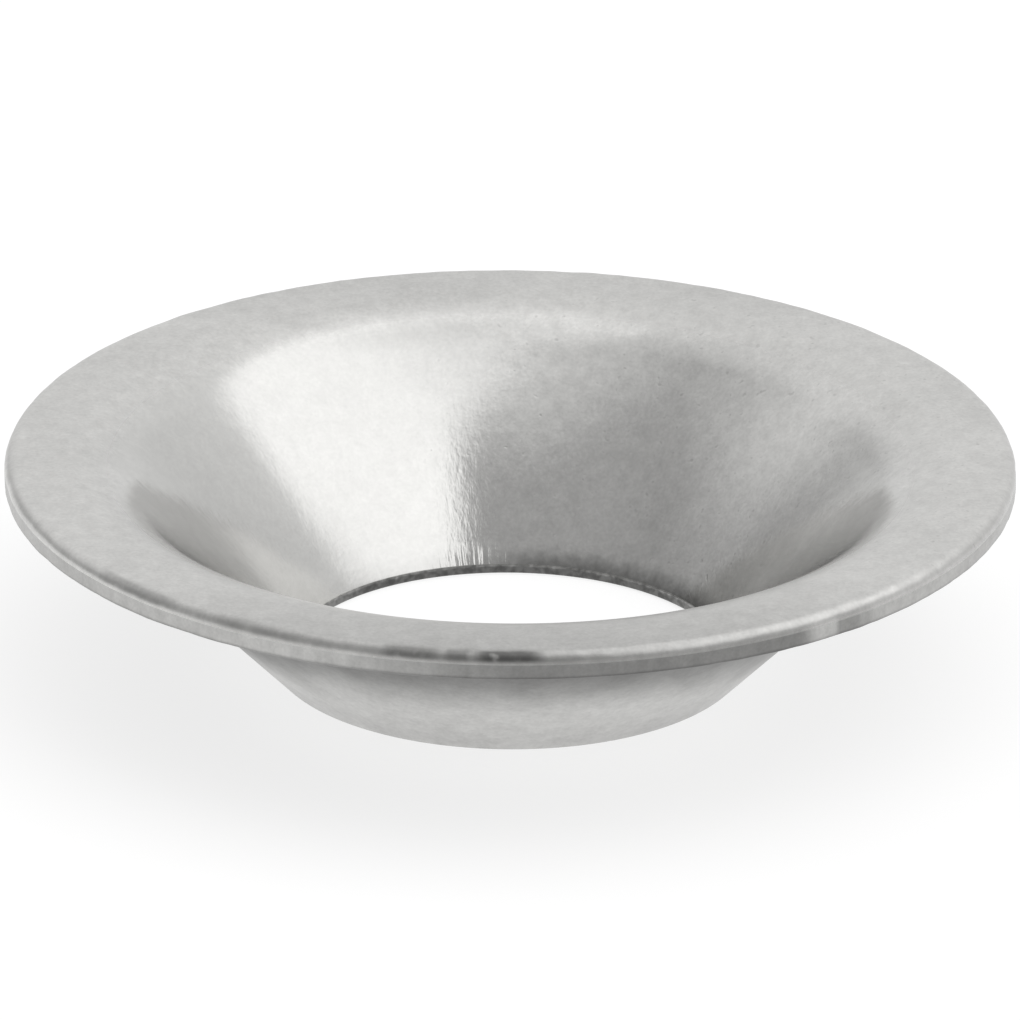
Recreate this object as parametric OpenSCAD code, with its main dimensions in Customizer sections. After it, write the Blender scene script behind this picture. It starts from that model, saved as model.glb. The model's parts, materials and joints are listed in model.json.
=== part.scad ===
// Finishing cup washer for a countersunk machine screw.
// One pressing of stainless sheet: a flat brim, a bend, and a cone that ends in a pierced lip.
// Millimetres, +Z up. The lip stands on z = 0, and the screw's axis is the Z axis.

/* [Screw hole] */
// Diameter of the pierced hole
bore_d = 6.8; // [3.4:0.1:14]
// Width of the flat ring round the hole that the washer stands on
lip_w = 0.35; // [0.25:0.01:0.5]

/* [Cup] */
// Height from the lip to the top of the brim
cup_h = 3.45; // [2:0.05:8]
// Angle of the outside of the cone, across the axis
cone_angle = 89; // [80:1:100]
// Angle of the seat inside the cone, made for the countersunk head
seat_angle = 82; // [74:1:90]
// Wall of the cone at the lip, where drawing has thinned it
lip_t = 0.36; // [0.3:0.01:0.45]

/* [Brim] */
// Thickness of the sheet
sheet_t = 0.45; // [0.3:0.01:0.9]
// Radius of the bend on top, from the seat to the brim
bend_r = 2; // [1:0.05:4]
// Width of the flat part of the brim's top, outside the bend
brim_w = 0.815; // [0.3:0.005:4]

/* [Edges] */
// Radius rolled over the top of the rim by the blanking die
rim_roll_r = 0.2; // [0.05:0.01:0.3]
// Radius that tumbling leaves on the burr under the rim
rim_burr_r = 0.05; // [0.02:0.01:0.1]
// Radius inside the cup, where the cone meets the hole
lip_round_r = 0.06; // [0.02:0.01:0.12]
// Radius outside the cup, where the cone meets the ring it stands on
base_round_r = 0.08; // [0.02:0.01:0.15]

/* [Hidden] */

// Room left round the section by the regions that cut it
margin = 1;
// How far an arc stands proud of the lines it joins, so that it crosses them and doesn't just touch
arc_proud = 0.00005;

bore_r = bore_d / 2;
base_r = bore_r + lip_w;
cone_half = cone_angle / 2;
seat_half = seat_angle / 2;
brim_under_z = cup_h - sheet_t;

// Unit vector square to the outside of the cone, pointing into the cup
into_cup = [-cos(cone_half), sin(cone_half)];

// Outside of the cone: from the ring it stands on to where it would meet the brim's underside
cone_foot = [base_r, 0];
cone_head = [base_r + brim_under_z * tan(cone_half), brim_under_z];

// Inside of the cone: lip_t away at the foot, and as much more at the head as the two angles give
seat_foot = cone_foot + lip_t * into_cup;
seat_run = tan(seat_half);
head_t = lip_t + norm(cone_head - cone_foot) * tan(cone_half - seat_half);

// Where the inside of the cone meets the hole, and where it would meet the brim's top
land_z = seat_foot[1] - (seat_foot[0] - bore_r) / seat_run;
mouth_r = seat_foot[0] + (cup_h - seat_foot[1]) * seat_run;

// The bend on the underside lies the wall's thickness inside the one on top, where the brim starts
under_bend_r = bend_r - head_t;
brim_start_r = mouth_r + bend_r * tan((90 - seat_half) / 2);
rim_r = brim_start_r + brim_w;

function unit(v) = v / norm(v);
function cross_z(a, b) = a[0] * b[1] - a[1] * b[0];

// Where a round of radius r touches the two sides of a corner, and its centre: [start, centre, end]
function corner_round(before, corner, after, r) =
    let (
        back = unit(before - corner),
        on = unit(after - corner),
        half = acos(back * on) / 2,
        reach = r / tan(half)
    )
    [corner + reach * back, corner + r / sin(half) * unit(back + on), corner + reach * on];

// What a round takes off a corner: all that lies beyond its arc, out past the corner's point
module corner_waste(before, corner, after, r) {
    round = corner_round(before, corner, after, r);
    centre = round[1];
    past = 2;
    difference() {
        polygon([for (point = [centre, round[0], corner, round[2]]) centre + past * (point - centre)]);
        translate(centre) circle(r = r + arc_proud, $fn = 128);
    }
}

// Polygon, given anticlockwise, whose corners have true round arcs. A radius of 0 leaves a corner sharp.
// A hollow corner's round is the neighbour's, so there the waste is added and not taken off.
module rounded_polygon(corners, radii) {
    n = len(corners);
    before = function (i) corners[(i + n - 1) % n];
    after = function (i) corners[(i + 1) % n];
    is_hollow = function (i) cross_z(corners[i] - before(i), after(i) - corners[i]) < 0;
    rounded = [for (i = [0 : n - 1]) if (radii[i] > 0) i];
    difference() {
        union() {
            polygon(corners);
            for (i = rounded)
                if (is_hollow(i)) corner_waste(before(i), corners[i], after(i), radii[i]);
        }
        for (i = rounded)
            if (!is_hollow(i)) corner_waste(before(i), corners[i], after(i), radii[i]);
    }
}

// Everything that lies under the washer's top: hole, inside of the cone, bend, brim and rim
module under_the_top() {
    rounded_polygon(
        [[bore_r, -margin], [rim_r, -margin], [rim_r, cup_h], [mouth_r, cup_h], [bore_r, land_z]],
        [0, 0, rim_roll_r, bend_r, lip_round_r]
    );
}

// Everything that lies under the washer's underside: ring, outside of the cone, bend and brim
module under_the_washer() {
    rounded_polygon(
        [
            [bore_r - margin, -margin],
            [rim_r + margin, -margin],
            [rim_r + margin, brim_under_z],
            cone_head,
            cone_foot,
            [bore_r - margin, 0]
        ],
        [0, 0, 0, under_bend_r, base_round_r, 0]
    );
}

// The pressing, turned from its section
module cup_washer() {
    color("silver")
        rotate_extrude($fn = 180)
            difference() {
                under_the_top();
                under_the_washer();
                corner_waste(cone_head, [rim_r, brim_under_z], [rim_r, cup_h], rim_burr_r);
            }
}

cup_washer();
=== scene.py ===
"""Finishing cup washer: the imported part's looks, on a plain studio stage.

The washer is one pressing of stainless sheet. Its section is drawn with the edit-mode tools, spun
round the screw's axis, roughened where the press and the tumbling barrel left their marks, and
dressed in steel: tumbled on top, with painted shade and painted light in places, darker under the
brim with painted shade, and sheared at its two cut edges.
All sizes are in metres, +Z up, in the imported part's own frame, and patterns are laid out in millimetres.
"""
import json
import logging
import math
from collections.abc import Callable
from dataclasses import dataclass
from enum import Enum

import bpy
from bpy.types import Material, MeshPolygon, Node, NodeSocket, NodeTree, Object
from mathutils import Matrix, Vector


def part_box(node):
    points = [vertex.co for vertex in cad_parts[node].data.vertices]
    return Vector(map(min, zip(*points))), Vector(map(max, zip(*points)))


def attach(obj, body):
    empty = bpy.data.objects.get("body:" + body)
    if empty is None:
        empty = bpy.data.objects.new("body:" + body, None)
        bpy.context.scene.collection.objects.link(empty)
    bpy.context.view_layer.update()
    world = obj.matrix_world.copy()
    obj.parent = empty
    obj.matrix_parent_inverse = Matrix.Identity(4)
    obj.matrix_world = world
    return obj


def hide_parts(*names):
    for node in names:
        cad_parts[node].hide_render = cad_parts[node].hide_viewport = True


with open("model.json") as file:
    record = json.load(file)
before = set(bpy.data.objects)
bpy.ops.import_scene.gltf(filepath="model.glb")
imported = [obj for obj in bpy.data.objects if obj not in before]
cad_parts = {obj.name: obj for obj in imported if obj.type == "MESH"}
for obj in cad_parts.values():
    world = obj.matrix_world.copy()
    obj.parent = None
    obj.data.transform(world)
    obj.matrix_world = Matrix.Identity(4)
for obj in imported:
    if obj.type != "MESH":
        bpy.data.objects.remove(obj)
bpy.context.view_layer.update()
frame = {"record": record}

log = logging.getLogger("cup_washer")

MM = 0.001
NODE_NAME = "cup_washer"
BODY_NAME = "root"
IMAGE_PIXELS = 1020
SENSOR_WIDTH_MM = 36.0

# Values between which nearly all of a noise lies
NOISE_RANGE = (0.3, 0.7)


def toward(azimuth: float, elevation: float = 0.0) -> Vector:
    """Points a unit vector.

    Args:
        azimuth: Degrees from +X towards +Y.
        elevation: Degrees over the floor.

    Returns:
        The unit vector.
    """
    turn, rise = math.radians(azimuth), math.radians(elevation)
    return Vector((math.cos(rise) * math.cos(turn), math.cos(rise) * math.sin(turn), math.sin(rise)))


TO_RIGHT = toward(0.0)
TO_FRONT = toward(-90.0)
TO_BACK = toward(90.0)
OVERHEAD = toward(0.0, 90.0)


class Face(Enum):
    """Which finish a stretch of the pressing has, by its material slot's place on the mesh."""

    TUMBLED = 0
    SHELTERED = 1
    SHEARED = 2


@dataclass(frozen=True)
class Corner:
    """A corner of the section, in the plane of radius and height.

    Attributes:
        at: Radius and height of the sharp corner.
        round_r: Radius of its arc.
        arc_steps: Edges along the arc.
        line_steps: Edges along the straight stretch that leads to the corner.
    """

    at: Vector
    round_r: float
    arc_steps: int
    line_steps: int


@dataclass(frozen=True)
class WasherSizes:
    """Sizes of the pressing's section."""

    rim_r: float
    height: float
    bore_r: float
    brim_under_z: float
    lip_w: float = 0.35 * MM
    lip_t: float = 0.36 * MM
    bend_r: float = 2.0 * MM
    rim_roll_r: float = 0.2 * MM
    rim_burr_r: float = 0.05 * MM
    hole_burr_r: float = 0.03 * MM
    lip_round_r: float = 0.06 * MM
    base_round_r: float = 0.08 * MM
    cone_half: float = math.radians(44.5)
    seat_half: float = math.radians(41.0)
    seat_bow: float = 0.215 * MM
    seat_bow_r: float = 13.6 * MM

    @classmethod
    def from_frame(cls) -> "WasherSizes":
        """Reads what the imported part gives: its box, its hole and its brim.

        Returns:
            The sizes, with the sheet's own radii and angles at their usual values.
        """
        _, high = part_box(NODE_NAME)
        mounts = {mount["name"]: mount for mount in frame["record"]["mounts"]}
        return cls(
            rim_r=high.x,
            height=high.z,
            bore_r=mounts["screw_hole"]["dims"]["r_mm"] * MM,
            brim_under_z=mounts["brim_underside"]["pos_m"][2],
        )

    @property
    def cone_foot(self) -> Vector:
        """Where the outside of the cone meets the ring that the washer stands on."""
        return Vector((self.bore_r + self.lip_w, 0.0))

    @property
    def cone_head(self) -> Vector:
        """Where the outside of the cone would meet the brim's underside."""
        return self.cone_foot + Vector((self.brim_under_z * math.tan(self.cone_half), self.brim_under_z))

    @property
    def head_t(self) -> float:
        """Thickness of the wall at the bend."""
        run = (self.cone_head - self.cone_foot).length
        return self.lip_t + run * math.tan(self.cone_half - self.seat_half)

    @property
    def seat_foot(self) -> Vector:
        """Where the inside of the cone lies over its foot, the lip's thickness away."""
        into_cup = Vector((-math.cos(self.cone_half), math.sin(self.cone_half)))
        return self.cone_foot + self.lip_t * into_cup

    @property
    def land_z(self) -> float:
        """Height of the hole's straight wall, where the inside of the cone meets it."""
        return self.seat_foot.y - (self.seat_foot.x - self.bore_r) / math.tan(self.seat_half)

    @property
    def seat_lip(self) -> Vector:
        """Where the inside of the cone meets the hole's wall."""
        return Vector((self.bore_r, self.land_z))

    @property
    def seat_along(self) -> Vector:
        """Unit vector up the seat."""
        return Vector((math.sin(self.seat_half), math.cos(self.seat_half)))

    @property
    def seat_length(self) -> float:
        """Length of the seat, from the hole's wall to where the bend starts."""
        bend_reach = self.bend_r * math.tan((math.pi / 2 - self.seat_half) / 2)
        return (self.height - self.land_z) / self.seat_along.y - bend_reach

    @property
    def seat_middle(self) -> Vector:
        """Halfway up the seat, where the drawn wall bows a little into the cup."""
        into_cup = Vector((-self.seat_along.y, self.seat_along.x))
        return self.seat_lip + self.seat_length / 2 * self.seat_along + self.seat_bow * into_cup

    @property
    def mouth(self) -> Vector:
        """Where the upper half of the seat would meet the brim's top."""
        head = self.seat_lip + self.seat_length * self.seat_along
        rise = (self.height - self.seat_middle.y) / (head.y - self.seat_middle.y)
        return self.seat_middle.lerp(head, rise)

    def corners(self) -> list[Corner]:
        """Lists the section's corners anticlockwise, from the ring's outer edge round to the hole.

        Returns:
            The corners, with the steps that the mesh takes at each.
        """
        under_edge = Vector((self.rim_r, self.brim_under_z))
        roll = Vector((self.rim_r, self.height))
        hole_edge = Vector((self.bore_r, 0.0))
        return [
            Corner(self.cone_foot, self.base_round_r, arc_steps=4, line_steps=3),
            Corner(self.cone_head, self.bend_r - self.head_t, arc_steps=10, line_steps=10),
            Corner(under_edge, self.rim_burr_r, arc_steps=3, line_steps=5),
            Corner(roll, self.rim_roll_r, arc_steps=10, line_steps=6),
            Corner(self.mouth, self.bend_r, arc_steps=18, line_steps=7),
            Corner(self.seat_middle, self.seat_bow_r, arc_steps=24, line_steps=3),
            Corner(self.seat_lip, self.lip_round_r, arc_steps=5, line_steps=1),
            Corner(hole_edge, self.hole_burr_r, arc_steps=3, line_steps=3),
        ]


class SectionPen:
    """Draws a closed outline in the plane of radius (X) and height (Z), one vertex after another."""

    def __init__(self, name: str, start: Vector) -> None:
        """Puts a single vertex down.

        Args:
            name: Name of the new object.
            start: Radius and height of the vertex.
        """
        bpy.ops.object.select_all(action="DESELECT")
        bpy.ops.mesh.primitive_plane_add(size=1 * MM, location=(start.x, 0.0, start.y))
        self.piece: Object = bpy.context.object
        self.piece.name = name
        self.piece.data.name = name
        bpy.ops.object.transform_apply(location=True, rotation=True, scale=True)
        bpy.ops.object.mode_set(mode="EDIT")
        bpy.ops.mesh.select_mode(type="VERT")
        bpy.ops.mesh.select_all(action="SELECT")
        bpy.ops.mesh.merge(type="CENTER")
        self.at = start.copy()

    def line_to(self, end: Vector, steps: int) -> None:
        """Draws a straight stretch.

        Args:
            end: Radius and height of its end.
            steps: Edges along it.
        """
        step = (end - self.at) / steps
        for _ in range(steps):
            bpy.ops.mesh.extrude_region_move(TRANSFORM_OT_translate={"value": (step.x, 0.0, step.y)})
        self.at = end.copy()

    def arc_about(self, centre: Vector, end: Vector, steps: int) -> None:
        """Draws an arc from where the pen is.

        Args:
            centre: Radius and height of the arc's centre.
            end: Radius and height of the arc's end.
            steps: Edges along it.
        """
        turn = (end - centre).angle_signed(self.at - centre)
        bpy.ops.mesh.spin(
            steps=steps,
            angle=abs(turn),
            center=(centre.x, 0.0, centre.y),
            axis=(0.0, math.copysign(1.0, turn), 0.0),
            use_auto_merge=False,
        )
        self.at = end.copy()


@dataclass(frozen=True)
class Unevenness:
    """A roughened stretch of the skin, made with a displacement that follows soft clouds.

    Attributes:
        name: Name of its vertex group and its texture.
        cloud_size: Size of the clouds.
        depth: Difference between the highest and the lowest cloud.
    """

    name: str
    cloud_size: float
    depth: float


class CupWasher:
    """The pressing: its mesh, its marks and its three finishes."""

    SPIN_STEPS = 720
    MERGE_DISTANCE = 0.002 * MM
    SMOOTH_ANGLE = math.radians(40.0)
    SKIN_WAVES = Unevenness("skin_waves", 0.9 * MM, 0.006 * MM)
    RIM_WAVES = Unevenness("rim_waves", 0.45 * MM, 0.02 * MM)
    # Height over which the cup's inside has waves, and how far under the brim's top they start again
    WAVES_FROM_Z = 0.3 * MM
    BRIM_SKIN = 0.02 * MM
    # Share of the roll's radius that the rim's waves take in
    ROLL_SHARE = 1.1
    # How far the sheared faces reach in from the rim, out from the hole and up its wall
    RIM_BAND = 0.06 * MM
    HOLE_BAND = 0.012 * MM
    HOLE_TOP_BAND = 0.05 * MM
    # Rise of a normal under which a face is upright, or looks down, or looks down close to the rim
    UPRIGHT = 0.75
    DOWNWARD = -0.02
    DOWNWARD_AT_RIM = -0.5
    RIM_SKIN = 0.03 * MM

    def __init__(self, sizes: WasherSizes) -> None:
        """Keeps the sizes for the methods that follow.

        Args:
            sizes: Sizes of the section.
        """
        self.sizes = sizes

    def build(self) -> Object:
        """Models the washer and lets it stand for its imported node.

        Returns:
            The finished piece.
        """
        piece = self._spin(self._draw_section())
        self._displace(piece, self.SKIN_WAVES, self._is_on_top)
        self._displace(piece, self.RIM_WAVES, self._is_on_rim)
        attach(piece, BODY_NAME)
        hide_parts(NODE_NAME)
        return piece

    def dress(self, piece: Object) -> None:
        """Gives each stretch of the skin its finish.

        Args:
            piece: The washer's mesh.
        """
        tests = {Face.SHELTERED: self._is_underside, Face.SHEARED: self._is_sheared}
        finishes = {
            Face.TUMBLED: TumbledSteel(self.sizes),
            Face.SHELTERED: UndersideSteel(self.sizes),
            Face.SHEARED: ShearedSteel(self.sizes),
        }
        for face in Face:
            piece.data.materials.append(finishes[face].material())
        for face, test in tests.items():
            self._select_faces(piece, test)
            piece.active_material_index = face.value
            bpy.ops.object.mode_set(mode="EDIT")
            bpy.ops.object.material_slot_assign()
            bpy.ops.object.mode_set(mode="OBJECT")

    def _draw_section(self) -> Object:
        """Draws the section's outline, with an arc at each corner.

        Returns:
            The object that holds the outline, in edit mode.
        """
        corners = self.sizes.corners()
        start = (corners[-1].at + corners[0].at) / 2
        pen = SectionPen("pressed_washer", start)
        for i, corner in enumerate(corners):
            back = (corners[i - 1].at - corner.at).normalized()
            on = (corners[(i + 1) % len(corners)].at - corner.at).normalized()
            half = back.angle(on) / 2
            reach = corner.round_r / math.tan(half)
            centre = corner.at + corner.round_r / math.sin(half) * (back + on).normalized()
            pen.line_to(corner.at + reach * back, corner.line_steps)
            pen.arc_about(centre, corner.at + reach * on, corner.arc_steps)
        pen.line_to(start, corners[0].line_steps)
        return pen.piece

    def _spin(self, piece: Object) -> Object:
        """Spins the outline round the screw's axis into a closed skin.

        Args:
            piece: The object that holds the outline, in edit mode.

        Returns:
            The same object, in object mode, smooth but for its sheared corners.
        """
        bpy.ops.mesh.select_all(action="SELECT")
        bpy.ops.mesh.remove_doubles(threshold=self.MERGE_DISTANCE)
        bpy.ops.mesh.select_all(action="SELECT")
        bpy.ops.mesh.spin(
            steps=self.SPIN_STEPS,
            angle=math.tau,
            center=(0.0, 0.0, 0.0),
            axis=(0.0, 0.0, 1.0),
            use_auto_merge=True,
        )
        bpy.ops.mesh.select_all(action="SELECT")
        bpy.ops.mesh.remove_doubles(threshold=self.MERGE_DISTANCE)
        bpy.ops.mesh.select_all(action="SELECT")
        bpy.ops.mesh.normals_make_consistent(inside=False)
        bpy.ops.object.mode_set(mode="OBJECT")
        bpy.ops.object.shade_smooth_by_angle(angle=self.SMOOTH_ANGLE)
        return piece

    def _displace(self, piece: Object, marks: Unevenness, test: Callable[[Vector], bool]) -> None:
        """Moves a stretch of the skin in and out by soft clouds.

        Args:
            piece: The washer's mesh.
            marks: The clouds and their depth.
            test: Tells for a place on the skin whether it belongs to the stretch.
        """
        bpy.ops.object.mode_set(mode="EDIT")
        bpy.ops.mesh.select_mode(type="VERT")
        bpy.ops.mesh.select_all(action="DESELECT")
        bpy.ops.object.mode_set(mode="OBJECT")
        piece.data.vertices.foreach_set("select", [test(vertex.co) for vertex in piece.data.vertices])
        bpy.ops.object.vertex_group_add()
        piece.vertex_groups.active.name = marks.name
        bpy.ops.object.mode_set(mode="EDIT")
        bpy.ops.object.vertex_group_assign()
        bpy.ops.object.vertex_group_smooth(factor=0.5, repeat=3)
        bpy.ops.object.mode_set(mode="OBJECT")
        clouds = bpy.data.textures.new(marks.name, type="CLOUDS")
        clouds.noise_scale = marks.cloud_size
        clouds.noise_depth = 2
        bpy.ops.object.modifier_add(type="DISPLACE")
        displace = piece.modifiers[-1]
        displace.texture = clouds
        displace.texture_coords = "LOCAL"
        displace.direction = "NORMAL"
        displace.vertex_group = marks.name
        displace.strength = marks.depth
        displace.mid_level = 0.5
        bpy.ops.object.modifier_apply(modifier=displace.name)

    def _select_faces(self, piece: Object, test: Callable[[MeshPolygon], bool]) -> None:
        """Selects faces by their place and normal.

        Args:
            piece: The washer's mesh.
            test: Tells for a face whether it is wanted.
        """
        bpy.ops.object.mode_set(mode="EDIT")
        bpy.ops.mesh.select_mode(type="FACE")
        bpy.ops.mesh.select_all(action="DESELECT")
        bpy.ops.object.mode_set(mode="OBJECT")
        piece.data.polygons.foreach_set("select", [test(face) for face in piece.data.polygons])

    def _is_on_rim(self, place: Vector) -> bool:
        """Tells whether a point lies on the rim's edge or its roll."""
        inner = self.sizes.rim_r - self.ROLL_SHARE * self.sizes.rim_roll_r
        return place.xy.length > inner and place.z > self.sizes.brim_under_z

    def _is_on_top(self, place: Vector) -> bool:
        """Tells whether a point lies on the cup's inside or the brim's top."""
        wall = self.sizes.bore_r + place.z * math.tan(self.sizes.seat_half)
        on_brim = place.z > self.sizes.height - self.BRIM_SKIN
        return place.z > self.WAVES_FROM_Z and (place.xy.length < wall or on_brim)

    def _is_sheared(self, face: MeshPolygon) -> bool:
        """Tells whether a face lies on the rim's edge or the hole's wall."""
        sizes = self.sizes
        radius, height = face.center.xy.length, face.center.z
        on_edge = radius > sizes.rim_r - self.RIM_BAND and height < sizes.height - sizes.rim_roll_r
        on_wall = radius < sizes.bore_r + self.HOLE_BAND and height < sizes.land_z + self.HOLE_TOP_BAND
        return (on_edge or on_wall) and abs(face.normal.z) < self.UPRIGHT

    def _is_underside(self, face: MeshPolygon) -> bool:
        """Tells whether a face looks down, on the cone's outside, the brim's underside or the ring."""
        at_rim = face.center.xy.length > self.sizes.rim_r - self.RIM_SKIN
        return face.normal.z < (self.DOWNWARD_AT_RIM if at_rim else self.DOWNWARD)


class Wiring:
    """Adds nodes to one tree and joins them. A value is a socket to link, or a number, vector or colour."""

    def __init__(self, tree: NodeTree) -> None:
        """Keeps the tree."""
        self.tree = tree

    def node(self, kind: str, *values: object, **settings: object) -> Node:
        """Adds a node.

        Args:
            kind: Blender's name of the node type.
            values: Values of its first inputs.
            settings: Attributes that the node gets.

        Returns:
            The node.
        """
        node = self.tree.nodes.new(kind)
        for name, value in settings.items():
            setattr(node, name, value)
        for socket, value in zip(node.inputs, values):
            self.feed(socket, value)
        return node

    def feed(self, socket: NodeSocket, value: object) -> None:
        """Gives an input its value.

        Args:
            socket: The input.
            value: The value.
        """
        if isinstance(value, NodeSocket):
            self.tree.links.new(value, socket)
        else:
            socket.default_value = value

    def math(self, operation: str, *values: object) -> NodeSocket:
        """Adds a Math node with the named operation."""
        return self.node("ShaderNodeMath", *values, operation=operation).outputs[0]

    def vector(self, operation: str, *values: object, out: str = "Vector") -> NodeSocket:
        """Adds a Vector Math node with the named operation, and picks one of its outputs."""
        return self.node("ShaderNodeVectorMath", *values, operation=operation).outputs[out]

    def dot(self, value: NodeSocket, way: object) -> NodeSocket:
        """Adds how far a vector goes along a way."""
        return self.vector("DOT_PRODUCT", value, way, out="Value")

    def split(self, value: NodeSocket) -> Node:
        """Splits a vector into the outputs X, Y and Z."""
        return self.node("ShaderNodeSeparateXYZ", value)

    def span(
        self,
        value: NodeSocket,
        start: float,
        end: float,
        low: float = 0.0,
        high: float = 1.0,
        soft: bool = True,
    ) -> NodeSocket:
        """Adds a Map Range node that goes from one value to another.

        Args:
            value: What is mapped.
            start: Where the low end lies.
            end: Where the high end lies.
            low: Result at the start.
            high: Result at the end.
            soft: True for a step with rounded ends.

        Returns:
            The result, held between its ends.
        """
        ease = "SMOOTHSTEP" if soft else "LINEAR"
        node = self.node("ShaderNodeMapRange", value, start, end, low, high, interpolation_type=ease)
        return node.outputs["Result"]

    def around(self, noise: NodeSocket, middle: float, swing: float, soft: bool = False) -> NodeSocket:
        """Turns a noise into values that swing round a middle."""
        return self.span(noise, *NOISE_RANGE, middle - swing, middle + swing, soft)

    def mix(self, share: object, low: object, high: object) -> NodeSocket:
        """Goes from one value to another by a share from 0 to 1."""
        return self.math("MULTIPLY_ADD", share, self.math("SUBTRACT", high, low), low)

    def product(self, *values: object) -> NodeSocket:
        """Multiplies several values.

        Args:
            values: The values, as sockets or numbers.

        Returns:
            Their product.
        """
        total = values[0]
        for value in values[1:]:
            total = self.math("MULTIPLY", total, value)
        return total

    def noise(self, place: NodeSocket, scale: object, detail: float = 2.0, warp: float = 0.0) -> NodeSocket:
        """Adds a Noise Texture node.

        Args:
            place: Where it is read.
            scale: Its scale.
            detail: How many finer layers it has.
            warp: How far it is distorted.

        Returns:
            Its value, from 0 to 1.
        """
        node = self.node("ShaderNodeTexNoise")
        self.feed(node.inputs["Vector"], place)
        self.feed(node.inputs["Scale"], scale)
        self.feed(node.inputs["Detail"], detail)
        self.feed(node.inputs["Distortion"], warp)
        return node.outputs["Fac"]

    def place(self, up: float = 1.0) -> NodeSocket:
        """Adds the place on the washer, in millimetres, with its height times a factor."""
        coords = self.node("ShaderNodeTexCoord").outputs["Object"]
        return self.vector("MULTIPLY", coords, (1 / MM, 1 / MM, up / MM))

    def bearing(self) -> NodeSocket:
        """Adds the unit vector from the screw's axis towards the place, level with the floor."""
        return self.vector("NORMALIZE", self.place(up=0.0))


class Effects:
    """Node groups that the steel finishes share, each made once."""

    # The grain's broad and cloudy layers: their scale next to the fine one, and their share of the tone
    BROAD_SCALE = 0.22
    CLOUD_SCALE = 0.04
    BROAD_SHARE = 0.3
    CLOUD_SHARE = 0.3
    BROAD_RELIEF = 1.8
    # The way in which the pits get more, per millimetre, and how much more
    CROWDING = (0.1, 0.04, 0.0)
    CROWD_GAIN = 0.1

    def __init__(self) -> None:
        """Makes the groups."""
        self.where = self._where()
        self.grain = self._grain()
        self.pits = self._pits()
        self.streaks = self._streaks()

    @staticmethod
    def _group(
        name: str, inputs: dict[str, float], outputs: tuple[str, ...]
    ) -> tuple[NodeTree, Wiring, Node, Node]:
        """Makes an empty group.

        Args:
            name: Name of the group.
            inputs: Its number inputs, with their usual values.
            outputs: Names of its value outputs.

        Returns:
            The group, its wiring, and its input and output nodes.
        """
        tree = bpy.data.node_groups.new(name, "ShaderNodeTree")
        for label, usual in inputs.items():
            socket = tree.interface.new_socket(label, in_out="INPUT", socket_type="NodeSocketFloat")
            socket.default_value = usual
        for label in outputs:
            tree.interface.new_socket(label, in_out="OUTPUT", socket_type="NodeSocketFloat")
        wiring = Wiring(tree)
        return tree, wiring, wiring.node("NodeGroupInput"), wiring.node("NodeGroupOutput")

    def _where(self) -> NodeTree:
        """Makes the group that tells a place's radius and height, in millimetres.

        Returns:
            The group.
        """
        tree, wiring, _, out = self._group("where_on_washer", {}, ("Radius", "Height"))
        wiring.feed(out.inputs["Radius"], wiring.vector("LENGTH", wiring.place(up=0.0), out="Value"))
        wiring.feed(out.inputs["Height"], wiring.split(wiring.place()).outputs["Z"])
        return tree

    def _grain(self) -> NodeTree:
        """Makes the group for the peened grain that the tumbling barrel leaves.

        Returns:
            The group.
        """
        tree, wiring, given, out = self._group("barrel_grain", {"Scale": 16.0}, ("Height", "Tone"))
        place = wiring.place()
        scale = given.outputs["Scale"]
        fine = wiring.noise(place, scale, warp=0.3)
        broad = wiring.noise(place, wiring.product(scale, self.BROAD_SCALE), detail=3.0)
        cloud = wiring.noise(place, wiring.product(scale, self.CLOUD_SCALE))
        wiring.feed(out.inputs["Height"], wiring.math("MULTIPLY_ADD", broad, self.BROAD_RELIEF, fine))
        both = wiring.mix(self.BROAD_SHARE, fine, broad)
        wiring.feed(out.inputs["Tone"], wiring.mix(self.CLOUD_SHARE, both, cloud))
        return tree

    def _pits(self) -> NodeTree:
        """Makes the group for the small dark pits in the sheet, more in some places than in others.

        Returns:
            The group.
        """
        tree, wiring, given, out = self._group("sheet_pits", {"Scale": 9.0, "Bar": 0.78}, ("Mask",))
        place = wiring.place()
        spots = wiring.noise(place, given.outputs["Scale"], detail=1.0, warp=0.15)
        crowd = wiring.span(wiring.dot(place, self.CROWDING), -0.3, 0.7)
        height = wiring.math("MULTIPLY_ADD", crowd, self.CROWD_GAIN, spots)
        over = wiring.math("SUBTRACT", height, given.outputs["Bar"])
        wiring.feed(out.inputs["Mask"], wiring.span(over, -0.02, 0.1))
        return tree

    def _streaks(self) -> NodeTree:
        """Makes the group for streaks that run down the wall, along the press's stroke.

        Returns:
            The group.
        """
        tree, wiring, given, out = self._group("press_streaks", {"Count": 40.0, "Drift": 1.0}, ("Streak",))
        round_it = wiring.vector("MULTIPLY", wiring.bearing(), given.outputs["Count"])
        height = wiring.split(wiring.place()).outputs["Z"]
        down = wiring.node("ShaderNodeCombineXYZ")
        wiring.feed(down.inputs["Z"], wiring.product(height, given.outputs["Drift"]))
        place = wiring.vector("ADD", round_it, down.outputs[0])
        wiring.feed(out.inputs["Streak"], wiring.noise(place, 1.0))
        return tree


@dataclass(frozen=True)
class Variation:
    """What changes over a finish's faces.

    Attributes:
        tone: Share of the steel's brightness.
        roughness: The shader's roughness.
        relief: Height of the skin, in millimetres.
    """

    tone: NodeSocket
    roughness: NodeSocket
    relief: NodeSocket


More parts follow.
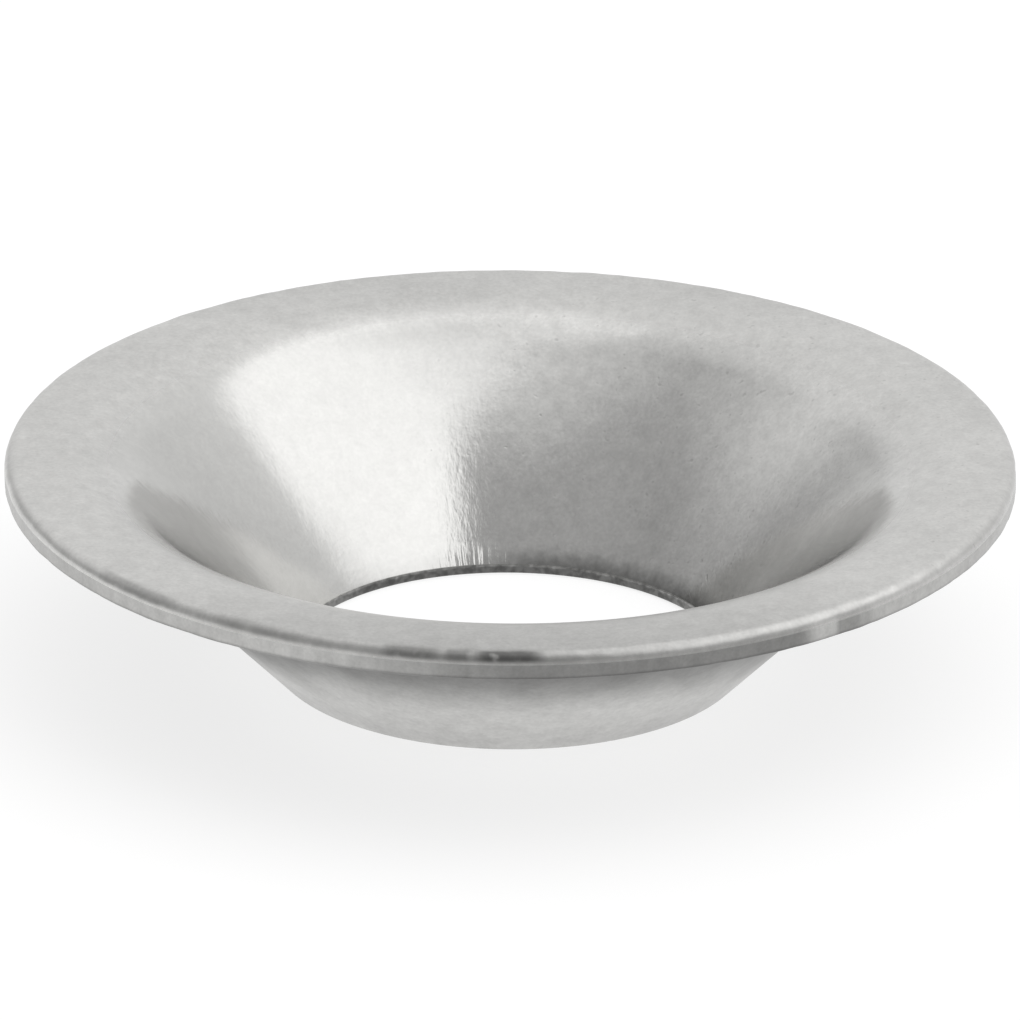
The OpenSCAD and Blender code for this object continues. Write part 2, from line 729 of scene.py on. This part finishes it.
class SteelFinish:
    """What the three finishes of the steel share: a metal with grain, pits and a tone that changes."""

    name = "steel"
    colour = (0.56, 0.557, 0.545)
    grain_scale = 16.0
    grain_depth = 0.001
    speckle = 0.115
    mottle_scale = 4.5
    mottle = 0.05
    pit_scale = 9.0
    pit_bar = 0.775
    pit_depth = 0.0012
    pit_shade = 0.16
    streak_depth = 0.002

    effects: Effects | None = None

    def __init__(self, sizes: WasherSizes) -> None:
        """Starts the material, and keeps its place and the sizes that its changes follow, in millimetres.

        Args:
            sizes: Sizes of the section.
        """
        if SteelFinish.effects is None:
            SteelFinish.effects = Effects()
        self.steel = bpy.data.materials.new(self.name)
        self.steel.use_nodes = True
        self.wiring = Wiring(self.steel.node_tree)
        where = self._place(self.effects.where)
        self.radius = where.outputs["Radius"]
        self.height = where.outputs["Height"]
        self.top = sizes.height / MM
        self.under = sizes.brim_under_z / MM
        self.rim = sizes.rim_r / MM
        self.roll = sizes.rim_roll_r / MM
        self.bore = sizes.bore_r / MM
        self.land = sizes.land_z / MM

    def material(self) -> Material:
        """Makes the material.

        Returns:
            The material, ready for a slot.
        """
        wiring = self.wiring
        shader = self.steel.node_tree.nodes["Principled BSDF"]
        shader.inputs["Metallic"].default_value = 1.0
        grain = self._place(self.effects.grain, Scale=self.grain_scale)
        pits = self._place(self.effects.pits, Scale=self.pit_scale, Bar=self.pit_bar).outputs["Mask"]
        looks = self.vary()
        clear = wiring.math("MULTIPLY_ADD", pits, -self.pit_shade, 1.0)
        speckle = wiring.around(grain.outputs["Tone"], 1.0, self.speckle)
        mottle = wiring.around(wiring.noise(wiring.place(), self.mottle_scale), 1.0, self.mottle)
        marks = wiring.math("SUBTRACT", wiring.product(clear, speckle, mottle), 1.0)
        marked = wiring.math("MULTIPLY_ADD", marks, self.contrast(), 1.0)
        tint = wiring.node("ShaderNodeMix", data_type="RGBA", blend_type="MULTIPLY")
        wiring.feed(tint.inputs[0], 1.0)
        wiring.feed(tint.inputs[6], (*self.colour, 1.0))
        wiring.feed(tint.inputs[7], wiring.product(marked, looks.tone))
        wiring.feed(shader.inputs["Base Color"], tint.outputs[2])
        wiring.feed(shader.inputs["Roughness"], looks.roughness)
        grained = wiring.math("MULTIPLY_ADD", grain.outputs["Height"], self.grain_depth, looks.relief)
        bump = wiring.node("ShaderNodeBump")
        wiring.feed(bump.inputs["Distance"], 1 * MM)
        wiring.feed(bump.inputs["Height"], wiring.math("MULTIPLY_ADD", pits, -self.pit_depth, grained))
        wiring.feed(shader.inputs["Normal"], bump.outputs["Normal"])
        return self.steel

    def vary(self) -> Variation:
        """Adds what changes over this finish's faces.

        Returns:
            Tone, roughness and relief.
        """
        raise NotImplementedError

    def contrast(self) -> object:
        """Tells how strongly the grain and the pits show."""
        return 1.0

    def _place(self, group: NodeTree, **values: float) -> Node:
        """Places a group in the material.

        Args:
            group: The group.
            values: The group's inputs.

        Returns:
            The node that holds the group.
        """
        node = self.wiring.node("ShaderNodeGroup", node_tree=group)
        for name, value in values.items():
            node.inputs[name].default_value = value
        return node

    def _streak(self, count: float, drift: float) -> NodeSocket:
        """Adds streaks, so many round the washer, that change so fast down the wall."""
        return self._place(self.effects.streaks, Count=count, Drift=drift).outputs["Streak"]

    def _torn(self) -> NodeSocket:
        """Adds the two stretches of the rim that tore off and weren't burnished by the die.

        Returns:
            A mask that is 1 where the cut is torn.
        """
        wiring = self.wiring
        bearing = wiring.split(wiring.bearing())
        across = bearing.outputs["X"]
        ragged = wiring.math("MULTIPLY_ADD", self._streak(11.0, 0.4), 0.2, across)
        starts = wiring.span(ragged, -0.3, 0.15)
        ends = wiring.span(across, 0.56, 0.61, 1.0, 0.0)
        patch_starts = wiring.span(across, 0.632, 0.645)
        patch_ends = wiring.span(across, 0.66, 0.74, 0.8, 0.0)
        in_front = wiring.span(bearing.outputs["Y"], -0.6, -0.3, 1.0, 0.0)
        long_one = wiring.product(starts, ends)
        short_one = wiring.product(patch_starts, patch_ends)
        return wiring.product(wiring.math("MAXIMUM", long_one, short_one), in_front)


@dataclass(frozen=True)
class RimMark:
    """A scuffed stretch of the rim's rolled edge.

    Attributes:
        azimuth: Middle of the stretch, in degrees from +X towards +Y.
        half_width: Half its length, in degrees.
        dullness: Share of the steel's brightness that the scuff takes.
    """

    azimuth: float
    half_width: float
    dullness: float


class TumbledSteel(SteelFinish):
    """The cup's inside and the brim's top: satin on the brim, smoother down in the cup."""

    name = "tumbled_steel"
    brim_roughness = 0.37
    wall_roughness = 0.15
    # Tones of the brim; the rear and front tones are painted shade at the very back and towards the front
    brim_tone = 1.02
    rear_tone = 0.96
    front_tone = 0.76
    # Share of the brightness that the painted shade over the lip takes, on its left and on its right
    lip_shade_shares = (0.08, 0.6)
    # Share of the brightness that painted shade takes low on the wall on the right
    side_shade = 0.14
    # Painted light that brightens the roll's outer edge on its left, and what the edge loses where the cut is
    # torn
    painted_left_edge_light = 0.16
    torn_edge_loss = 0.3
    # Where the punch galled the wall, and where it burnished it and how far that clears the grain
    gall = toward(93.5)
    burnished = toward(140.0)
    burnish = 0.55
    stroke_depth = 0.0012
    gall_depth = 0.0025
    tooth_depth = 0.001
    gall_tooth_depth = 0.016
    marks = (
        RimMark(-137.0, 5.5, 0.28),
        RimMark(-119.5, 5.0, 0.2),
        RimMark(-101.0, 3.0, 0.45),
        RimMark(-95.6, 1.5, 0.42),
        RimMark(-90.1, 3.5, 0.68),
    )

    def vary(self) -> Variation:
        """Adds the painted shade over the lip and on the brim, the roll's tone with its painted light, the
        scuffs, the smoother wall, and the punch's strokes.

        Returns:
            Tone, roughness and relief.
        """
        wiring, top = self.wiring, self.top
        tone = wiring.product(self._scuffs(), self._lip(), self._brim(), self._edge())
        roughness = wiring.span(self.height, top - 0.35, top - 0.03, self.wall_roughness, self.brim_roughness)
        return Variation(tone, roughness, self._drag())

    def contrast(self) -> NodeSocket:
        """Adds the stretch of the wall where the punch burnished the grain.

        Returns:
            How strongly the grain and the pits show, less in that stretch.
        """
        wiring = self.wiring
        along = wiring.span(wiring.dot(wiring.bearing(), self.burnished), 0.6, 0.85)
        on_wall = wiring.span(self.height, self.top - 0.35, self.top - 0.1, 1.0, 0.0)
        return wiring.math("MULTIPLY_ADD", wiring.product(along, on_wall), -self.burnish, 1.0)

    def _lip(self) -> NodeSocket:
        """Adds painted shade over the lip, stronger on the right, and painted shade low on the wall on the
        right.

        Returns:
            A tone that is lower there.
        """
        wiring = self.wiring
        to_right = wiring.dot(wiring.bearing(), TO_RIGHT)
        ragged = wiring.math("MULTIPLY_ADD", wiring.noise(wiring.place(), 7.0), 0.2, self.height)
        over_lip = wiring.span(ragged, self.land + 0.06, self.land + 0.45, 1.0, 0.0)
        # Painted shade over the lip, stronger on the right
        painted_lip_shade = wiring.product(over_lip, wiring.span(to_right, -0.25, 0.25, *self.lip_shade_shares))
        low_down = wiring.span(self.height, 1.2, 2.5, 1.0, 0.0)
        # Painted shade low on the wall on the right
        side = wiring.product(wiring.span(to_right, 0.45, 0.8, 0.0, self.side_shade), low_down)
        return wiring.product(wiring.math("SUBTRACT", 1.0, painted_lip_shade), wiring.math("SUBTRACT", 1.0, side))

    def _brim(self) -> NodeSocket:
        """Adds painted shade on the brim, which darkens it to the front and at the very back.

        Returns:
            The tone.
        """
        wiring = self.wiring
        to_front = wiring.dot(wiring.place(), TO_FRONT)
        # Painted shade towards the front and at the very back of the brim
        painted_front_shade = wiring.span(to_front, 4.5, 8.4, 1.0, self.front_tone)
        rear = wiring.span(to_front, -7.0, -5.0, self.rear_tone, self.brim_tone)
        on_brim = wiring.span(self.height, self.top - 0.2, self.top)
        return wiring.product(painted_front_shade, wiring.mix(on_brim, 1.0, rear))

    def _edge(self) -> NodeSocket:
        """Adds the roll's outer edge, brightened on the left by painted light and darker where the cut is
        torn.

        Returns:
            The tone.
        """
        wiring, top, roll = self.wiring, self.top, self.roll
        down_roll = wiring.span(self.height, top - 0.95 * roll, top - 0.12 * roll, 1.0, 0.0)
        outside = wiring.span(self.radius, self.rim - roll, self.rim - 0.5 * roll)
        to_right = wiring.dot(wiring.bearing(), TO_RIGHT)
        # Painted light on the left of the roll
        painted_left_light = wiring.span(to_right, -0.15, 0.1, self.painted_left_edge_light, 0.0)
        gain = wiring.math("MULTIPLY_ADD", self._torn(), -self.torn_edge_loss, painted_left_light)
        return wiring.math("MULTIPLY_ADD", wiring.product(down_roll, outside), gain, 1.0)

    def _scuffs(self) -> NodeSocket:
        """Adds the dull scuffs on the rim's roll.

        Returns:
            A tone that is lower in the scuffs.
        """
        wiring, top, rim = self.wiring, self.top, self.rim
        bearing = wiring.bearing()
        stretches: NodeSocket | None = None
        for mark in self.marks:
            outer = math.cos(math.radians(1.35 * mark.half_width))
            inner = math.cos(math.radians(0.55 * mark.half_width))
            stretch = wiring.span(wiring.dot(bearing, toward(mark.azimuth)), outer, inner, 0.0, mark.dullness)
            stretches = stretch if stretches is None else wiring.math("MAXIMUM", stretches, stretch)
        breaks = wiring.span(wiring.noise(wiring.place(), 4.0), 0.2, 0.5)
        low_border = wiring.span(self.height, top - 0.2, top - 0.1)
        high_border = wiring.span(self.height, top - 0.03, top + 0.01, 1.0, 0.0)
        on_roll = wiring.span(self.radius, rim - 0.24, rim - 0.12)
        scuffs = wiring.product(stretches, breaks, low_border, high_border, on_roll)
        return wiring.math("SUBTRACT", 1.0, scuffs)

    def _drag(self) -> NodeSocket:
        """Adds the strokes that the punch dragged down the wall, deepest where it galled and over the lip.

        Returns:
            The strokes' relief, in millimetres.
        """
        wiring, height = self.wiring, self.height
        outer, inner = math.cos(math.radians(24.0)), math.cos(math.radians(12.0))
        galled = wiring.span(wiring.dot(wiring.bearing(), self.gall), outer, inner)
        low_down = wiring.span(height, 1.0, 2.6, 1.0, 0.0)
        near_lip = wiring.span(height, self.land + 0.12, self.land + 0.36, 1.0, 0.0)
        gall_share = wiring.product(galled, low_down)
        depth = wiring.math("MULTIPLY_ADD", gall_share, self.gall_depth, self.stroke_depth)
        strokes = wiring.product(self._streak(56.0, 7.0), depth)
        tooth_depth = wiring.math("MULTIPLY_ADD", galled, self.gall_tooth_depth, self.tooth_depth)
        teeth = self._streak(34.0, 0.8)
        return wiring.math("MULTIPLY_ADD", teeth, wiring.product(near_lip, tooth_depth), strokes)


class UndersideSteel(SteelFinish):
    """The cone's outside and the brim's underside, with painted shade up under the brim, towards the foot and
    at the sides.
    """

    name = "underside_steel"
    roughness = 0.42
    roughness_swing = 0.04
    grain_scale = 13.0
    grain_depth = 0.0009
    # Tones of painted shade: in the recess under the brim, towards the foot and at the sides of the cone
    recess_shade_tone = 0.36
    foot_tone = 0.9
    side_tone = 0.92

    def vary(self) -> Variation:
        """Adds painted shade in the recess under the brim, with an uneven border that lies lower at the
        sides, and painted shade towards the foot and at the sides.

        Returns:
            Tone, roughness and relief.
        """
        wiring = self.wiring
        streak = self._streak(5.0, 1.0)
        to_front = wiring.dot(wiring.bearing(), TO_FRONT)
        uneven = wiring.math("MULTIPLY_ADD", streak, 0.4, self.height)
        border = wiring.math("ADD", uneven, wiring.span(to_front, 0.4, 1.0, 0.6, 0.0))
        # Painted shade up under the brim
        recess = wiring.span(border, 1.1, 2.3, 1.0, self.recess_shade_tone)
        # Painted shade, darker towards the foot by the floor
        foot = wiring.span(self.height, 0.1, 0.8, self.foot_tone, 1.0)
        # Painted shade, darker at the sides of the cone
        sides = wiring.span(to_front, 0.4, 1.0, self.side_tone, 1.0)
        roughness = wiring.around(streak, self.roughness, self.roughness_swing, soft=True)
        return Variation(
            wiring.product(recess, foot, sides), roughness, wiring.product(streak, self.streak_depth)
        )


class ShearedSteel(SteelFinish):
    """The rim's edge and the hole's wall: dark, with streaks along the cut, and burnished in stretches."""

    name = "sheared_steel"
    roughness = 0.34
    roughness_swing = 0.05
    grain_scale = 20.0
    grain_depth = 0.0005
    pit_bar = 0.95
    cut_swing = 0.07
    # Painted shade along the rim's lower edge, next to the brim's underside
    under_edge_shade_tone = 0.5
    rim_tone = 0.88
    torn_loss = 0.46
    # Tones of the hole's torn wall, painted light that makes it brighter towards the front, and its burnished
    # upper edge
    hole_tones = (0.17, 0.28)
    front_gain = 2.4
    burnished_tone = 0.4

    def vary(self) -> Variation:
        """Adds the streaks of the cut, painted shade along the rim's lower edge, the burnished stretches, and
        the dark torn wall of the hole.

        Returns:
            Tone, roughness and relief.
        """
        wiring = self.wiring
        streak = self._streak(42.0, 1.2)
        cut = wiring.around(streak, 1.0, self.cut_swing)
        # Painted shade along the rim's lower edge
        under_edge = wiring.span(self.height, self.under, self.under + 0.08, self.under_edge_shade_tone, 1.0)
        torn = wiring.math("MULTIPLY_ADD", self._torn(), -self.torn_loss, self.rim_tone)
        at_hole = wiring.span(self.radius, self.bore + 0.5, self.bore + 1.0, 1.0, 0.0)
        tone = wiring.mix(at_hole, wiring.product(torn, cut, under_edge), self._hole())
        roughness = wiring.around(streak, self.roughness, self.roughness_swing, soft=True)
        return Variation(tone, roughness, wiring.product(streak, self.streak_depth))

    def _hole(self) -> NodeSocket:
        """Adds the hole's wall: torn and dark, brightened towards the front by painted light, with a ragged
        burnished edge at its top.

        Returns:
            The tone.
        """
        wiring = self.wiring
        torn = wiring.span(wiring.noise(wiring.place(), 8.0), 0.35, 0.65, *self.hole_tones)
        # Painted light, brighter towards the front of the hole
        gain = wiring.span(wiring.dot(wiring.bearing(), TO_BACK), 0.2, 0.8, self.front_gain, 1.0)
        ragged = wiring.math("MULTIPLY_ADD", wiring.noise(wiring.place(), 7.0), 0.1, self.height)
        burnished = wiring.span(ragged, 0.155, 0.22, 0.0, self.burnished_tone)
        return wiring.math("MULTIPLY_ADD", torn, gain, burnished)


@dataclass
class StudioSky:
    """Soft studio surroundings: a key light, a white ceiling, a white wall at the back, and a dim room.

    Attributes:
        key: Direction of the key light's middle.
        key_reach: Angle from the middle to its border, in degrees.
        key_level: Its brightness, where 1 is white.
        key_fade_level: Brightness beyond its border.
        key_top_share: Share of the key light that is left straight overhead.
        key_side: Unit vector square to the key light's upright edge, on the bright side.
        key_spill: How far the key light spills over that edge overhead.
        softness: Half the width of the key light's borders.
        ceiling_level: Brightness straight overhead.
        room_level: Brightness of the room beside and behind the camera.
        upper_room_level: Brightness of the room just under the ceiling.
        front_floor_level: Brightness low in front.
        wall: Direction of the back wall.
        wall_level: Brightness of the back wall.
        wall_foot_level: Share of that brightness that is left at the wall's foot.
        left_foot_level: The same at the wall's left end.
        right_foot_level: The same at the wall's right end.
    """

    key: Vector = toward(-65.0, 50.0)
    key_reach: float = 63.8
    key_level: float = 1.62
    key_fade_level: float = 0.86
    key_top_share: float = 0.45
    key_side: Vector = toward(28.0)
    key_spill: float = 0.17
    softness: float = 0.1
    ceiling_level: float = 1.08
    room_level: float = 0.5
    upper_room_level: float = 0.56
    front_floor_level: float = 0.8
    wall: Vector = toward(75.0)
    wall_level: float = 1.0
    wall_foot_level: float = 0.94
    left_foot_level: float = 0.52
    right_foot_level: float = 0.82

    def __post_init__(self) -> None:
        """Starts the world, and keeps its wiring, the way of a ray and how far that rises."""
        self.world = bpy.data.worlds.new("studio_sky")
        self.world.use_nodes = True
        self.wiring = Wiring(self.world.node_tree)
        self.way = self.wiring.node("ShaderNodeTexCoord").outputs["Generated"]
        self.rise = self.wiring.dot(self.way, OVERHEAD)

    def build(self) -> None:
        """Makes the world, white to the camera and soft to all else."""
        bpy.context.scene.world = self.world
        wiring = self.wiring
        background = self.world.node_tree.nodes["Background"]
        background.inputs["Color"].default_value = (1.0, 1.0, 1.0, 1.0)
        room = self._room()
        lit = wiring.mix(self._key_side_share(), room, self._key())
        foot = self._foot()
        to_wall = wiring.dot(self.way, self.wall)
        by_wall = wiring.span(to_wall, -0.1, 0.2)
        wall = wiring.span(to_wall, -0.3, 0.26, self.room_level, self.wall_level, soft=False)
        lit_room = wiring.product(wiring.math("MAXIMUM", lit, room), wiring.mix(by_wall, 1.0, foot))
        level = wiring.math("MAXIMUM", lit_room, wiring.product(wall, foot))
        seen = wiring.node("ShaderNodeLightPath").outputs["Is Camera Ray"]
        wiring.feed(background.inputs["Strength"], wiring.mix(seen, level, 1.0))

    def _key(self) -> NodeSocket:
        """Adds the key light, which fades past its round border, low down and straight overhead.

        Returns:
            Its brightness.
        """
        wiring = self.wiring
        border = math.cos(math.radians(self.key_reach))
        near_key = wiring.dot(self.way, self.key)
        inside = wiring.span(near_key, border - self.softness, border + self.softness)
        low_end = wiring.span(self.rise, 0.32, 0.6)
        high_end = wiring.span(self.rise, 0.87, 1.0, 1.0, self.key_top_share)
        gain = self.key_level - self.key_fade_level
        share = wiring.product(inside, low_end, high_end)
        return wiring.math("MULTIPLY_ADD", share, gain, self.key_fade_level)

    def _key_side_share(self) -> NodeSocket:
        """Adds the key light's upright edge.

        Returns:
            A mask that is 1 on the bright side.
        """
        wiring = self.wiring
        to_key_side = wiring.dot(self.way, self.key_side)
        high_up = wiring.span(self.rise, 0.88, 0.98)
        spill = wiring.math("MULTIPLY_ADD", high_up, self.key_spill, to_key_side)
        return wiring.span(spill, -self.softness, self.softness)

    def _room(self) -> NodeSocket:
        """Adds the dim room with its ceiling, and the floor in front.

        Returns:
            Its brightness.
        """
        wiring, rise = self.wiring, self.rise
        upper_room = wiring.span(rise, 0.64, 0.82, self.room_level, self.upper_room_level, soft=False)
        ceiling_gain = self.ceiling_level - self.upper_room_level
        ceiling = wiring.span(rise, 0.84, 1.0, 0.0, ceiling_gain, soft=False)
        in_front = wiring.span(wiring.dot(self.way, TO_FRONT), 0.0, 0.3)
        front_floor = wiring.product(in_front, wiring.span(rise, 0.1, 0.5, self.front_floor_level, 0.0))
        return wiring.math("MAXIMUM", wiring.math("ADD", upper_room, ceiling), front_floor)

    def _foot(self) -> NodeSocket:
        """Adds the back wall's darker foot, darkest at its two ends.

        Returns:
            The share of the brightness that is left.
        """
        wiring = self.wiring
        to_right = wiring.dot(self.way, TO_RIGHT)
        left = wiring.span(to_right, -0.7, -0.3, self.left_foot_level, self.wall_foot_level)
        right = wiring.span(to_right, 0.4, 0.7, self.wall_foot_level, self.right_foot_level)
        return wiring.mix(wiring.span(self.rise, 0.2, 0.62), wiring.math("MINIMUM", left, right), 1.0)


@dataclass(frozen=True)
class Floor:
    """A pale floor that keeps the washer's shadow, and looks plain white in the steel.

    Attributes:
        radius: Radius of the floor.
        colour: Its colour.
        roughness: Its roughness.
        glow: Light of its own that it shows to the camera.
        mirror_level: Brightness that it shows in the steel.
    """

    radius: float = 0.6
    colour: tuple[float, float, float] = (0.32, 0.32, 0.32)
    roughness: float = 0.9
    glow: float = 0.74
    mirror_level: float = 0.95

    def build(self) -> Object:
        """Adds the floor.

        Returns:
            The floor.
        """
        bpy.ops.object.select_all(action="DESELECT")
        bpy.ops.mesh.primitive_circle_add(vertices=96, radius=self.radius, fill_type="NGON")
        floor = bpy.context.object
        floor.name = "floor"
        floor.data.materials.append(self._material())
        return floor

    def _material(self) -> Material:
        """Makes the floor's material.

        Returns:
            The material, plain to the camera and evenly bright in the steel.
        """
        material = bpy.data.materials.new("pale_floor")
        material.use_nodes = True
        wiring = Wiring(material.node_tree)
        nodes = material.node_tree.nodes
        shader = nodes["Principled BSDF"]
        shader.inputs["Base Color"].default_value = (*self.colour, 1.0)
        shader.inputs["Roughness"].default_value = self.roughness
        shader.inputs["Specular IOR Level"].default_value = 0.0
        shader.inputs["Emission Color"].default_value = (1.0, 1.0, 1.0, 1.0)
        path = wiring.node("ShaderNodeLightPath")
        glow = wiring.product(path.outputs["Is Camera Ray"], self.glow)
        wiring.feed(shader.inputs["Emission Strength"], glow)
        plain = wiring.node("ShaderNodeEmission")
        plain.inputs["Strength"].default_value = self.mirror_level
        in_metal = wiring.math("MAXIMUM", path.outputs["Is Glossy Ray"], path.outputs["Is Transmission Ray"])
        either = wiring.node("ShaderNodeMixShader")
        wiring.feed(either.inputs["Fac"], in_metal)
        wiring.feed(either.inputs[1], shader.outputs["BSDF"])
        wiring.feed(either.inputs[2], plain.outputs["Emission"])
        wiring.feed(nodes["Material Output"].inputs["Surface"], either.outputs["Shader"])
        return material


@dataclass(frozen=True)
class PhotoCamera:
    """Camera at the photograph's viewing angle, fitted to the rim, the hole and the base ring.

    Attributes:
        distance: Distance from the middle of the brim's top.
        elevation: Angle over the floor, in degrees.
        focal_pixels: Focal length, in pixels of the picture.
        tilt: How far it looks up from the point it stands off from, in degrees.
        roll: How far it is turned about its own axis, in degrees.
    """

    distance: float = 0.32
    elevation: float = 22.5
    focal_pixels: float = 20229.0
    tilt: float = -0.154
    roll: float = 0.389

    def build(self, aim: Vector) -> Object:
        """Adds the camera and makes it the scene's.

        Args:
            aim: The point it stands off from, in the middle of the brim's top.

        Returns:
            The camera.
        """
        away = toward(-90.0, self.elevation)
        level_up = toward(90.0, 90.0 - self.elevation)
        tilt, roll = math.radians(self.tilt), math.radians(self.roll)
        forward = (-away + tilt * level_up).normalized()
        right = forward.cross(Vector((0.0, 0.0, 1.0))).normalized()
        up = right.cross(forward)
        rolled_right = math.cos(roll) * right + math.sin(roll) * up
        rolled_up = math.cos(roll) * up - math.sin(roll) * right
        turned = Matrix((rolled_right, rolled_up, -forward)).transposed().to_4x4()
        bpy.ops.object.select_all(action="DESELECT")
        bpy.ops.object.camera_add()
        camera = bpy.context.object
        camera.name = "photo_camera"
        camera.matrix_world = Matrix.Translation(aim + self.distance * away) @ turned
        camera.data.sensor_width = SENSOR_WIDTH_MM
        camera.data.lens = self.focal_pixels / IMAGE_PIXELS * SENSOR_WIDTH_MM
        camera.data.clip_start = 1 * MM
        bpy.context.scene.camera = camera
        return camera


def main() -> None:
    """Builds the washer, dresses it, and sets the stage round it."""
    logging.basicConfig(level=logging.INFO, format="%(name)s: %(message)s")
    bpy.context.scene.view_settings.view_transform = "Standard"
    sizes = WasherSizes.from_frame()
    washer = CupWasher(sizes)
    piece = washer.build()
    washer.dress(piece)
    log.info("%s: %d faces", piece.name, len(piece.data.polygons))
    Floor().build()
    StudioSky().build()
    PhotoCamera().build(Vector((0.0, 0.0, sizes.height)))


if __name__ == "__main__":
    main()
